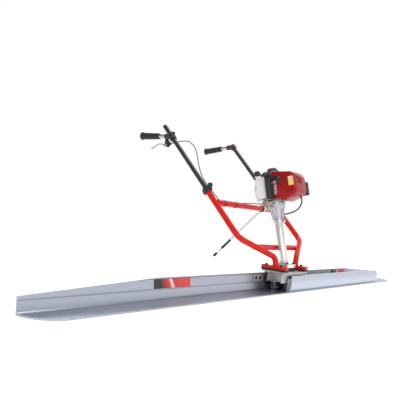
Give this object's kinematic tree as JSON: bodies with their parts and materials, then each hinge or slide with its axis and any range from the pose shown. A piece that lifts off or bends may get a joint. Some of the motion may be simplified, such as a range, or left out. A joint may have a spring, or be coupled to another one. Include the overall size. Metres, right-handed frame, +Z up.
{
  "type": "power screed",
  "caption": "Vibrating screed: long L-section blade, shaft-driven exciter on its flange, leaning mast with small engine, red tube frame, telescopic handles, stand.",
  "frame": {"origin": "on the sole of the blade, at the middle of its length and of its flange depth, below the exciter", "axes": "+X along the blade towards its right end as the operator sees the engine side, +Y from the blade towards the operator and the handles, +Z up"},
  "size_m": [3.05, 0.8713, 0.7661],
  "materials": {
    "blade_aluminium": "satin extruded aluminium",
    "rail_aluminium": "bright satin extruded aluminium",
    "cast_aluminium": "cast aluminium, slightly warm",
    "frame_red": "gloss red paint",
    "black_metal": "black painted steel",
    "mast_white": "white-silver gloss paint",
    "pad_rubber": "black rubber",
    "steel": "machined steel",
    "iron": "cast iron",
    "bush_plastic": "pale bearing plastic",
    "drum_steel": "turned steel",
    "engine_aluminium": "cast aluminium",
    "cover_red": "gloss red moulding",
    "black_plastic": "black moulding",
    "rope": "braided cord",
    "tank_white": "white translucent moulding",
    "carb_metal": "brownish cast metal",
    "brass": "plain",
    "muffler_metal": "heatproof black paint",
    "ceramic": "white glaze",
    "handle_metal": "dark bronze-black finish",
    "clamp_black": "black nylon",
    "clamp_maroon": "dark maroon",
    "grip_rubber": "black moulded rubber",
    "lever_metal": "worn alloy",
    "cable": "grey-black cable sheath",
    "switch_red": "red button",
    "stand_metal": "zinc-plated steel"
  },
  "bodies": {
    "frame": {"blade": "blade_aluminium", "front_rail": "rail_aluminium", "web_brackets": "cast_aluminium", "exciter_housing": "cast_aluminium", "exciter_cover": "black_metal", "exciter_posts": "black_metal", "isolator_pads": "pad_rubber", "shaft_bearings": "steel", "foot_strip_left": "frame_red", "foot_strip_right": "frame_red", "side_tube_left": "frame_red", "side_tube_right": "frame_red", "upper_cross_tube": "frame_red", "lower_cross_tube": "frame_red", "fasteners": "black_metal", "mast_flange": "mast_white", "mast_tube": "mast_white", "mast_collar": "steel", "mast_bushes": "bush_plastic", "clutch_housing": "engine_aluminium", "crankcase": "engine_aluminium", "cylinder": "engine_aluminium", "top_cover": "cover_red", "recoil_cover": "black_plastic", "fuel_tank": "tank_white", "air_cleaner": "black_plastic", "carburettor": "carb_metal", "muffler": "muffler_metal", "spark_plug": "ceramic", "tube_clamps": "clamp_black", "throttle_cable_lower": "cable", "engine_lead": "cable", "stand_collars": "clamp_black"},
    "driveline": {"drive_shaft": "steel", "eccentric_weight": "iron", "clutch_drum": "drum_steel"},
    "engine_shaft": {"crankshaft": "steel", "flywheel": "engine_aluminium", "clutch_shoes": "drum_steel"},
    "piston": {"piston": "engine_aluminium"},
    "starter": {"starter_handle": "black_plastic", "starter_rope": "rope"},
    "reel": {"recoil_reel": "black_plastic"},
    "fuel_cap": {"fuel_cap": "black_plastic"},
    "oil_cap": {"oil_cap": "black_plastic"},
    "throttle_lever": {"throttle_lever": "lever_metal"},
    "throttle_arm": {"throttle_arm": "brass"},
    "choke_lever": {"choke_lever": "black_plastic"},
    "handle_left": {"handle_tube_left": "handle_metal", "grip_clamp_left": "clamp_black", "grip_left": "grip_rubber", "throttle_cable_upper": "cable"},
    "handle_right": {"handle_tube_right": "handle_metal", "grip_clamp_right": "clamp_maroon", "grip_right": "grip_rubber"},
    "stop_switch": {"stop_switch": "switch_red"},
    "clamp_knob_left": {"clamp_knob_left": "clamp_black"},
    "clamp_knob_right": {"clamp_knob_right": "clamp_black"},
    "stand": {"stand_tube": "stand_metal"},
    "stand_rod": {"stand_rod": "stand_metal"}
  },
  "joints": [
    {"name": "engine_spin", "type": "hinge", "parent": "frame", "child": "engine_shaft", "pos_m": [0, 0.11645, 0.46943], "axis": [0, 0.2656, 0.9641], "continuous": true},
    {"name": "drive_spin", "type": "hinge", "parent": "frame", "child": "driveline", "pos_m": [0, 0.0235, 0.132], "axis": [0, 0.2656, 0.9641], "continuous": true},
    {"name": "piston_stroke", "type": "slide", "parent": "frame", "child": "piston", "axis": [0, -0.9641, 0.2656], "range_m": [-0.014, 0.014]},
    {"name": "reel_turn", "type": "hinge", "parent": "frame", "child": "reel", "pos_m": [0, 0.13968, 0.55379], "axis": [0, 0.2656, 0.9641], "range_deg": [0, 954], "stiffness_Nm_per_rad": 0.004, "springref_deg": -229.18},
    {"name": "starter_pull", "type": "slide", "parent": "frame", "child": "starter", "axis": [-1, 0, 0], "range_m": [0, 0.5]},
    {"name": "fuel_cap_turn", "type": "hinge", "parent": "frame", "child": "fuel_cap", "pos_m": [-0.042, 0.20444, 0.54788], "axis": [0, 0.2656, 0.9641], "range_deg": [0, 540]},
    {"name": "oil_cap_turn", "type": "hinge", "parent": "frame", "child": "oil_cap", "pos_m": [0.0453, 0.10315, 0.45131], "axis": [1, 0, 0], "range_deg": [0, 540]},
    {"name": "throttle_pull", "type": "hinge", "parent": "handle_left", "child": "throttle_lever", "pos_m": [-0.322, 0.59, 0.655], "axis": [1, 0, 0], "range_deg": [0, 16], "stiffness_Nm_per_rad": 0.5, "springref_deg": -11.46},
    {"name": "throttle_arm_turn", "type": "hinge", "parent": "frame", "child": "throttle_arm", "pos_m": [-0.0763, 0.1283, 0.40704], "axis": [1, 0, 0], "range_deg": [0, 40]},
    {"name": "choke_turn", "type": "hinge", "parent": "frame", "child": "choke_lever", "pos_m": [-0.0763, 0.09951, 0.43054], "axis": [1, 0, 0], "range_deg": [0, 60]},
    {"name": "handle_left_slide", "type": "slide", "parent": "frame", "child": "handle_left", "axis": [0, 0.7071, 0.7071], "range_m": [0, 0.07]},
    {"name": "handle_right_slide", "type": "slide", "parent": "frame", "child": "handle_right", "axis": [0, 0.7071, 0.7071], "range_m": [0, 0.07]},
    {"name": "stop_press", "type": "slide", "parent": "handle_left", "child": "stop_switch", "axis": [0, 0.7071, -0.7071], "range_m": [0, 0.002], "stiffness_N_per_m": 400, "springref_m": -0.001},
    {"name": "knob_left_turn", "type": "hinge", "parent": "frame", "child": "clamp_knob_left", "pos_m": [-0.322, 0.29783, 0.46861], "axis": [0, -0.7071, 0.7071], "range_deg": [0, 720]},
    {"name": "knob_right_turn", "type": "hinge", "parent": "frame", "child": "clamp_knob_right", "pos_m": [0.322, 0.29783, 0.46861], "axis": [0, -0.7071, 0.7071], "range_deg": [0, 720]},
    {"name": "stand_swing", "type": "hinge", "parent": "frame", "child": "stand", "pos_m": [0.135, 0.25491, 0.38991], "axis": [1, 0, 0], "range_deg": [-26, 85]},
    {"name": "stand_rod_slide", "type": "slide", "parent": "stand", "child": "stand_rod", "axis": [0, 0.6909, -0.723], "range_m": [0, 0.09]}
  ],
  "couplings": [
    {"joint": "drive_spin", "follows": "engine_spin", "ratio": 1},
    {"joint": "starter_pull", "follows": "reel_turn", "m_per_rad": 0.03},
    {"joint": "throttle_arm_turn", "follows": "throttle_pull", "ratio": 2.4}
  ]
}
